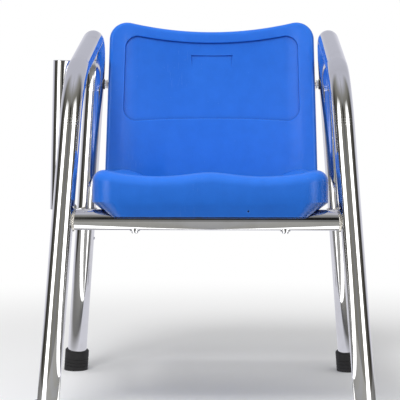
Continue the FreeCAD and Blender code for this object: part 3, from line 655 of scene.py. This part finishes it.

# %% [markdown]
# ### Painted shade in creases, painted highlights on edges
# Painted shade darkens the creases of the moulded plastic, such as the foot of the back's pressed
# panel, and a painted highlight makes its outer edges paler. The Ambient Occlusion node finds both.
# As it comes, it says how open the space over a point is. With `inside` on, it looks into the wall
# instead, where only an outer edge is near another face. Its short reach keeps the effect to the
# edges.

# %% Painted crease shade and edge highlights
# Colours, reaches and strength of the painted crease shade and the painted edge highlight.
BLUE_PAINTED_CREASE_SHADE = (0.10, 0.20, 0.34)
BLUE_PAINTED_EDGE_HIGHLIGHT = (0.09, 0.31, 0.93)
CREASE_SHADE_REACH = 0.014
EDGE_HIGHLIGHT_REACH = 0.0026
EDGE_HIGHLIGHT_STRENGTH = 0.6

# Painted highlight: outer edges, found by the inside AO, are mixed toward a paler blue.
edge_highlight_ao = add(tree, "ShaderNodeAmbientOcclusion", {"Distance": EDGE_HIGHLIGHT_REACH}, samples=8, inside=True)
painted_edge_highlight = ramp(tree, edge_highlight_ao, "AO", [(0.55, EDGE_HIGHLIGHT_STRENGTH), (0.96, 0.0)])
edge_highlighted = mix_colours(tree, (painted_edge_highlight, 0), (scuffed, "Result"), BLUE_PAINTED_EDGE_HIGHLIGHT)
# Painted shade: the colour is darkened where the AO finds little open space over a point, in creases
# and recesses.
crease_shade_ao = add(tree, "ShaderNodeAmbientOcclusion", {"Distance": CREASE_SHADE_REACH}, samples=8)
shade = ramp(tree, crease_shade_ao, "AO", [(0.50, BLUE_PAINTED_CREASE_SHADE), (0.96, WHITE)])
crease_shaded = add(tree, "ShaderNodeMix", {"Factor": 1.0}, data_type="RGBA", blend_type="MULTIPLY")
wire(tree, edge_highlighted, "Result", crease_shaded, "A")
wire(tree, shade, 0, crease_shaded, "B")
wire(tree, crease_shaded, "Result", shader, "Base Color")
print(blue_plastic.name, "now has", len(tree.nodes), "nodes")

# %% [markdown]
# ### Small parts
# Black washers and rubber feet share the moulded skin, each at its own scale. Nylon lets a
# little light in, so it gets a touch of subsurface scattering, and brass is only seen from below.


# %% Small parts
def moulded(name, deep, light, smooth, dull, grain_scale, relief, **constants):
    """A moulded material from its two colours, its two roughnesses and its grain."""
    material, tree, shader = shader_for(name, 0.0, smooth, **constants)
    surface = effect(tree, skin, Grain_Scale=grain_scale, Grain_Share=0.8)
    tint = mix_colours(tree, (surface, "Cloud"), deep, light)
    wire(tree, tint, "Result", shader, "Base Color")
    wire(tree, level_between(tree, surface, "Cloud", smooth, dull), "Result", shader, "Roughness")
    bump(tree, shader, surface, "Height", relief)
    return material


black_plastic = moulded("black_plastic", (0.012, 0.012, 0.014), (0.03, 0.03, 0.033),
                        0.32, 0.5, 900.0, 0.0002)
foot_rubber = moulded("foot_rubber", (0.012, 0.012, 0.012), (0.032, 0.031, 0.030),
                      0.55, 0.8, 1500.0, 0.0004)
pale_nylon = moulded("pale_nylon", (0.68, 0.65, 0.56), (0.80, 0.77, 0.68), 0.38, 0.5, 700.0, 0.0002,
                     Subsurface_Weight=0.15, Subsurface_Scale=0.002)
insert_brass = polished_metal("insert_brass", (0.52, 0.36, 0.14), (0.68, 0.50, 0.22),
                              0.22, 0.4, COARSE_RELIEF)
print("small parts:", black_plastic.name, foot_rubber.name, pale_nylon.name, insert_brass.name)

# %% [markdown]
# ## Dress the pieces that stay
# Most of the frame's own solids already have their true shape. Their meshes are loose triangles,
# so a Weld modifier joins them, an Edge Split keeps the real edges sharp, and smooth shading
# does the rest. Nothing in the mesh itself is touched.

# %% Carried-over pieces
FINISH_OF_SLOT = {
    "polished_tube": rail_steel, "polished_plate": plate_steel, "weld_bead": weld_metal,
    "bright_fastener": bolt_zinc, "insert_brass": insert_brass, "blue_plastic": blue_plastic,
    "pale_nylon": pale_nylon, "black_plastic": black_plastic, "black_rubber": foot_rubber,
}
CREASE = math.radians(28)
SAME_POINT = 0.000002


def smooth_and_split(piece):
    """Smooth shading with sharp edges, for a mesh of loose triangles."""
    weld = piece.modifiers.new("join", "WELD")
    weld.merge_threshold = SAME_POINT
    split = piece.modifiers.new("crease", "EDGE_SPLIT")
    split.split_angle = CREASE
    split.use_edge_sharp = False
    piece.data.polygons.foreach_set("use_smooth", [True] * len(piece.data.polygons))


slot_of = {row["node"]: row["material_slot"] for row in frame["record"]["subparts"]}
for name, piece in nodes.items():
    finish = FINISH_OF_SLOT[slot_of[name]]
    for slot_number in range(len(piece.material_slots)):
        piece.material_slots[slot_number].material = finish
    smooth_and_split(piece)
print(len(nodes), "pieces dressed in", len(set(slot_of.values())), "finishes")

# %% [markdown]
# ## Bent side frames
# Each side frame is one tube from the front foot over the arm to the rear foot. A sweep along a
# curve would do, but a ring of edges that is extruded for each straight run and spun round each
# bend gives clean rows of faces, so that reflections run along the tube without a wobble. The
# frame is drawn in the plane X = 0 and then leaned inwards.

# %% Tube sizes
TUBE_R = 0.019
TUBE_SIDES = 96
BEND_R = 0.105
BEND_STEPS = 40
LEAN = math.radians(4.62)
FOOT_X = 0.2773
FOOT_Y = 0.267
TUBE_END = 0.008
FRONT_CORNER = Vector((0.0, -0.2347, 0.6014))
REAR_CORNER = Vector((0.0, 0.1868, 0.6872))


def on_leg(corner, foot_y, height):
    """A point of a leg's axis, in a plane with no lean yet."""
    return Vector((0.0, foot_y + (corner.y - foot_y) * height / corner.z, height))


def frame_points():
    """Front end, two corners and rear end of the tube's axis, in its own plane."""
    flat = [on_leg(FRONT_CORNER, -FOOT_Y, TUBE_END), FRONT_CORNER, REAR_CORNER,
            on_leg(REAR_CORNER, FOOT_Y, TUBE_END)]
    return [Vector((0.0, point.y, point.z / math.cos(LEAN))) for point in flat]


def side_plane(side):
    """Turns and moves the plane X = 0 into a side frame's plane: -1 is left, 1 is right."""
    return Matrix.Translation((side * FOOT_X, 0, 0)) @ Matrix.Rotation(-side * LEAN, 4, "Y")


print("tube axis in", len(frame_points()), "points")

# %% [markdown]
# `extrude_edge_only` copies the ring and joins the two with faces, and only the copy is moved.
# `spin` does the same in small steps about a bend's centre, and its `geom_last` is the last
# ring, where the next run starts.


# %% Straight runs
def edges_of(things):
    """The edges in a mixed list of vertices, edges and faces."""
    return [thing for thing in things if isinstance(thing, bmesh.types.BMEdge)]


def push_ring(mesh, ring, travel):
    """Extrudes a ring of edges straight ahead and returns the new ring."""
    grown = bmesh.ops.extrude_edge_only(mesh, edges=ring)["geom"]
    moved = [thing for thing in grown if isinstance(thing, bmesh.types.BMVert)]
    bmesh.ops.translate(mesh, verts=moved, vec=travel)
    corners = set(moved)
    return [edge for edge in edges_of(grown) if set(edge.verts) <= corners]


print("straight runs ready")

# %% [markdown]
# A bend of radius R that turns by an angle starts R * tan(angle / 2) before the corner and ends
# as far behind it. The centre lies to the inner side, R away from the axis.


# %% Tube builder
def bent_tube(points, radius, bend):
    """A closed round bar through the points, with an arc at each corner."""
    mesh = bmesh.new()
    ahead_way = (points[1] - points[0]).normalized()
    start = Matrix.Translation(points[0]) @ ahead_way.to_track_quat("Z", "Y").to_matrix().to_4x4()
    bmesh.ops.create_circle(mesh, cap_ends=True, segments=TUBE_SIDES, radius=radius, matrix=start)
    ring = mesh.edges[:]
    here = points[0]
    for before, corner, after in zip(points, points[1:], points[2:]):
        arrive = (corner - before).normalized()
        depart = (after - corner).normalized()
        turned = arrive.angle(depart)
        trim = bend * math.tan(turned / 2)
        ring = push_ring(mesh, ring, corner - arrive * trim - here)
        axis = arrive.cross(depart).normalized()
        centre = corner - arrive * trim + axis.cross(arrive) * bend
        spun = bmesh.ops.spin(mesh, geom=ring, cent=centre, axis=axis, angle=turned,
                              steps=BEND_STEPS, use_duplicate=False)
        ring = edges_of(spun["geom_last"])
        here = corner + depart * trim
    ring = push_ring(mesh, ring, points[-1] - here)
    bmesh.ops.holes_fill(mesh, edges=ring)
    bmesh.ops.recalc_face_normals(mesh, faces=mesh.faces)
    return mesh


print("tube builder ready")

# %% [markdown]
# Each finished mesh becomes an object that rides on a body of the frame, fills a material slot
# and takes the place of the plain solid that it details. The tubes are the first two.


# %% Side frames
def as_piece(mesh, name, finish, body, replaced):
    """Stores a bmesh as a smooth piece that rides on a body in place of frame nodes."""
    data = bpy.data.meshes.new(name)
    mesh.to_mesh(data)
    mesh.free()
    data.materials.append(finish)
    data.shade_smooth()
    data.set_sharp_from_angle(angle=CREASE)
    piece = bpy.data.objects.new(name, data)
    scene.collection.objects.link(piece)
    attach(piece, body)
    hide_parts(*replaced)
    return piece


for side, word in ((-1, "left"), (1, "right")):
    mesh = bent_tube(frame_points(), TUBE_R, BEND_R)
    bmesh.ops.transform(mesh, matrix=side_plane(side), verts=mesh.verts)
    piece = as_piece(mesh, word + "_arm_tube", tube_steel, "frame",
                     [word + "_side_frame"])
    solid_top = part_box(word + "_side_frame")[1][2]
    top = max(corner.co.z for corner in piece.data.vertices)
    print(piece.name, len(piece.data.polygons), "faces, top off by", round(top - solid_top, 5))

# %% [markdown]
# ## Sleeve
# The open sleeve beside the left arm has a thin wall and a rounded lip that catches the light. A
# Screw modifier could turn it, but `spin` leaves a finished mesh whose first and last rings can
# be merged at once. A profile of one side of the wall is spun through a full turn, as on a
# lathe, and then placed.


# %% Lathe
LATHE_MERGE = 1e-7


def lathe(profile, place, steps=TUBE_SIDES, loop=True):
    """Spins a profile of (radius, height) points about Z and places the result."""
    mesh = bmesh.new()
    corners = [mesh.verts.new((radius, 0, height)) for radius, height in profile]
    ends = corners[1:] + corners[:1] if loop else corners[1:]
    sides = [mesh.edges.new(pair) for pair in zip(corners, ends)]
    bmesh.ops.spin(mesh, geom=corners + sides, cent=(0, 0, 0), axis=(0, 0, 1), angle=math.tau,
                   steps=steps, use_merge=True, use_duplicate=False)
    bmesh.ops.remove_doubles(mesh, verts=mesh.verts, dist=LATHE_MERGE)
    bmesh.ops.recalc_face_normals(mesh, faces=mesh.faces)
    bmesh.ops.transform(mesh, matrix=place, verts=mesh.verts)
    return mesh


def along(start, end):
    """Places Z along the way from start to end."""
    way = end - start
    return Matrix.Translation(start) @ way.to_track_quat("Z", "Y").to_matrix().to_4x4()


def arc(centre_r, centre_h, radius, first, last, steps):
    """Points of an arc in a profile, between two angles in degrees."""
    angles = [math.radians(first + (last - first) * step / steps) for step in range(steps + 1)]
    return [(centre_r + radius * math.cos(a), centre_h + radius * math.sin(a)) for a in angles]


print("lathe ready")

# %% [markdown]
# The wall is 2 mm thick, and the lip is half a turn between its two faces. The profile starts
# above the cap that closes the sleeve's foot, which is a piece of its own.

# %% Sleeve
SLEEVE_R = 0.019
SLEEVE_BORE_R = 0.017
SLEEVE_LIP = (SLEEVE_R - SLEEVE_BORE_R) / 2
BASE_CAP = 0.003
SLEEVE_LOW = Vector((-0.28082, 0.02, 0.350))
SLEEVE_HIGH = Vector((-0.27277, 0.02, 0.629))

sleeve_length = (SLEEVE_HIGH - SLEEVE_LOW).length
wall = [(SLEEVE_R, BASE_CAP)]
wall += arc(SLEEVE_R - SLEEVE_LIP, sleeve_length - SLEEVE_LIP, SLEEVE_LIP, 0, 180, steps=8)
wall += [(SLEEVE_BORE_R, BASE_CAP)]
mesh = lathe(wall, along(SLEEVE_LOW, SLEEVE_HIGH))
sleeve = as_piece(mesh, "open_sleeve", tube_steel, "frame", ["accessory_sleeve"])
print(sleeve.name, "is", round(sleeve_length, 4), "m long")

# %% [markdown]
# ## Rubber feet
# A rubber ferrule is pushed over each leg. Its collar is rounded, three grooves run round it,
# and its sole is cut level with the floor, although the leg leans two ways. So the lathe turns it
# along the leg and `bisect_plane` trims it at height zero.

# %% Foot sizes
FOOT_SIDES = 64
FOOT_R = 0.024
FOOT_HEIGHT = 0.042
COLLAR_R = 0.5 * (FOOT_R - TUBE_R)
GROOVE_DEPTH = 0.0009
GROOVE_HALF = 0.0012
GROOVE_FLOOR_HALF = 0.4 * GROOVE_HALF
GROOVES = (0.012, 0.019, 0.026)


def leg_point(side, row, height):
    """A point of a leg's axis. The row is -1 for the front legs and 1 for the rear ones."""
    corner = FRONT_CORNER if row < 0 else REAR_CORNER
    flat = on_leg(corner, row * FOOT_Y, height)
    return Vector((side * (FOOT_X - height * math.tan(LEAN)), flat.y, height))


def foot_profile(length):
    """Outer line from the axis below the floor up to the collar, and its return to the tube."""
    line = [(0.0, -FOOT_HEIGHT), (FOOT_R, -FOOT_HEIGHT)]
    for height in GROOVES:
        line += [(FOOT_R, height - GROOVE_HALF),
                 (FOOT_R - GROOVE_DEPTH, height - GROOVE_FLOOR_HALF),
                 (FOOT_R - GROOVE_DEPTH, height + GROOVE_FLOOR_HALF),
                 (FOOT_R, height + GROOVE_HALF)]
    line += arc(FOOT_R - COLLAR_R, length - COLLAR_R, COLLAR_R, 0, 90, steps=5)
    return line + [(TUBE_R, length), (TUBE_R, TUBE_END), (0.0, TUBE_END)]


print("foot profile has", len(foot_profile(FOOT_HEIGHT)), "points")

# %% [markdown]
# One foot is turned for each leg, because each leg leans its own way. The trim leaves an open
# rim, which `holes_fill` closes with the flat sole.

# %% Feet
for side, side_word in ((-1, "left"), (1, "right")):
    for row, row_word in ((-1, "front"), (1, "rear")):
        low, high = leg_point(side, row, 0.0), leg_point(side, row, FOOT_HEIGHT)
        mesh = lathe(foot_profile((high - low).length), along(low, high), FOOT_SIDES, loop=False)
        bmesh.ops.bisect_plane(mesh, geom=mesh.verts[:] + mesh.edges[:] + mesh.faces[:],
                               plane_co=(0, 0, 0), plane_no=(0, 0, 1), clear_inner=True)
        rim = [edge for edge in mesh.edges if edge.is_boundary]
        bmesh.ops.holes_fill(mesh, edges=rim)
        bmesh.ops.recalc_face_normals(mesh, faces=mesh.faces)
        name = row_word + "_" + side_word + "_ferrule"
        node = row_word + "_" + side_word + "_foot"
        foot = as_piece(mesh, name, foot_rubber, "frame", [node])
        print(foot.name, len(foot.data.polygons), "faces")

# %% [markdown]
# ## Hand over
# The scene is brought up to date once every piece is in place.

# %% Hand over
bpy.context.view_layer.update()
